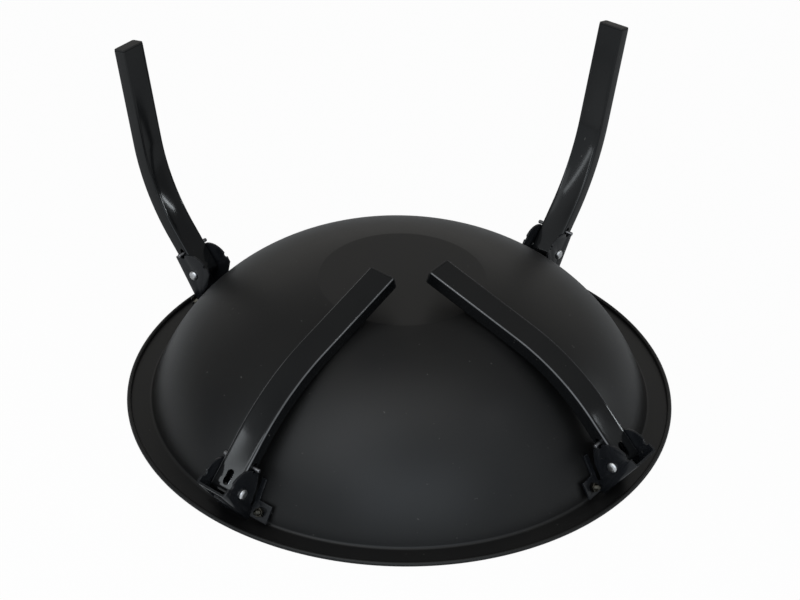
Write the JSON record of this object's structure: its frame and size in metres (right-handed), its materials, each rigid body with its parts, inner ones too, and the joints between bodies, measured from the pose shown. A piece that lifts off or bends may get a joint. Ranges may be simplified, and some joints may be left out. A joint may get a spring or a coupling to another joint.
{
  "type": "folding fire bowl",
  "caption": "Round steel fire bowl with a flanged rim and folding curved legs that lock in hinged brackets, shown upside down.",
  "frame": {"origin": "centre of the outer face of the flat base disc, which is the top of the bowl as it lies upside down", "axes": "+Z along the bowl's axis, out of the base disc and away from the mouth; the legs stand at 53.7, 143.7, 233.7 and 323.7 degrees round it from +X, and the two folded ones are on the -Y side"},
  "size_m": [0.5644, 0.574, 0.2697],
  "materials": {
    "bowl_paint": "satin black high-temperature paint",
    "leg_paint": "semi-gloss black powder coat",
    "bracket_paint": "semi-gloss black paint",
    "foot_plastic": "moulded black plastic",
    "bright_steel": "bright zinc-plated steel",
    "dark_zinc": "dull yellow-zinc steel",
    "spring_steel": "bare drawn spring wire"
  },
  "bodies": {
    "bowl_body": {"bowl": "bowl_paint", "bracket_br": "bracket_paint", "hinge_rivet_br": "bright_steel", "foot_bolt_br_left": "dark_zinc", "foot_nut_br_left": "dark_zinc", "foot_bolt_br_right": "dark_zinc", "foot_nut_br_right": "dark_zinc", "bracket_bl": "bracket_paint", "hinge_rivet_bl": "bright_steel", "foot_bolt_bl_left": "dark_zinc", "foot_nut_bl_left": "dark_zinc", "foot_bolt_bl_right": "dark_zinc", "foot_nut_bl_right": "dark_zinc", "bracket_fl": "bracket_paint", "hinge_rivet_fl": "bright_steel", "foot_bolt_fl_left": "dark_zinc", "foot_nut_fl_left": "dark_zinc", "foot_bolt_fl_right": "dark_zinc", "foot_nut_fl_right": "dark_zinc", "bracket_fr": "bracket_paint", "hinge_rivet_fr": "bright_steel", "foot_bolt_fr_left": "dark_zinc", "foot_nut_fr_left": "dark_zinc", "foot_bolt_fr_right": "dark_zinc", "foot_nut_fr_right": "dark_zinc"},
    "leg_br": {"leg_tube_br": "leg_paint", "foot_cap_br": "foot_plastic", "lock_spring_br": "spring_steel"},
    "lock_br": {"lock_pin_br": "bright_steel"},
    "leg_bl": {"leg_tube_bl": "leg_paint", "foot_cap_bl": "foot_plastic", "lock_spring_bl": "spring_steel"},
    "lock_bl": {"lock_pin_bl": "bright_steel"},
    "leg_fl": {"leg_tube_fl": "leg_paint", "foot_cap_fl": "foot_plastic", "lock_spring_fl": "spring_steel"},
    "lock_fl": {"lock_pin_fl": "bright_steel"},
    "leg_fr": {"leg_tube_fr": "leg_paint", "foot_cap_fr": "foot_plastic", "lock_spring_fr": "spring_steel"},
    "lock_fr": {"lock_pin_fr": "bright_steel"}
  },
  "joints": [
    {"name": "leg_hinge_br", "type": "hinge", "parent": "bowl_body", "child": "leg_br", "pos_m": [0.15256, 0.20769, -0.0944], "axis": [0.8059, -0.592, 0], "range_deg": [0, 86.09]},
    {"name": "lock_slide_br", "type": "slide", "parent": "leg_br", "child": "lock_br", "axis": [0.3915, 0.533, 0.7501], "range_m": [-0.0025, 0.003], "stiffness_N_per_m": 500, "springref_m": -0.005, "deforming": ["lock_spring_br"]},
    {"name": "leg_hinge_bl", "type": "hinge", "parent": "bowl_body", "child": "leg_bl", "pos_m": [-0.20769, 0.15256, -0.0944], "axis": [0.592, 0.8059, 0], "range_deg": [-3, 83.09]},
    {"name": "lock_slide_bl", "type": "slide", "parent": "leg_bl", "child": "lock_bl", "axis": [-0.5006, 0.3677, 0.7837], "range_m": [-0.0025, 0.003], "stiffness_N_per_m": 500, "springref_m": -0.005, "deforming": ["lock_spring_bl"]},
    {"name": "leg_hinge_fl", "type": "hinge", "parent": "bowl_body", "child": "leg_fl", "pos_m": [-0.15217, -0.20798, -0.09441], "axis": [0.7957, -0.605, -0.0287], "range_deg": [0, 86.09]},
    {"name": "lock_slide_fl", "type": "slide", "parent": "leg_fl", "child": "lock_fl", "axis": [0.442, 0.5476, 0.7104], "range_m": [-0.0025, 0.003], "stiffness_N_per_m": 500, "springref_m": -0.005, "deforming": ["lock_spring_fl"]},
    {"name": "leg_hinge_fr", "type": "hinge", "parent": "bowl_body", "child": "leg_fr", "pos_m": [0.20769, -0.15256, -0.0944], "axis": [0.592, 0.8059, 0], "range_deg": [0, 86.09]},
    {"name": "lock_slide_fr", "type": "slide", "parent": "leg_fr", "child": "lock_fr", "axis": [-0.5668, 0.4164, 0.7109], "range_m": [-0.0025, 0.003], "stiffness_N_per_m": 500, "springref_m": -0.005, "deforming": ["lock_spring_fr"]}
  ]
}
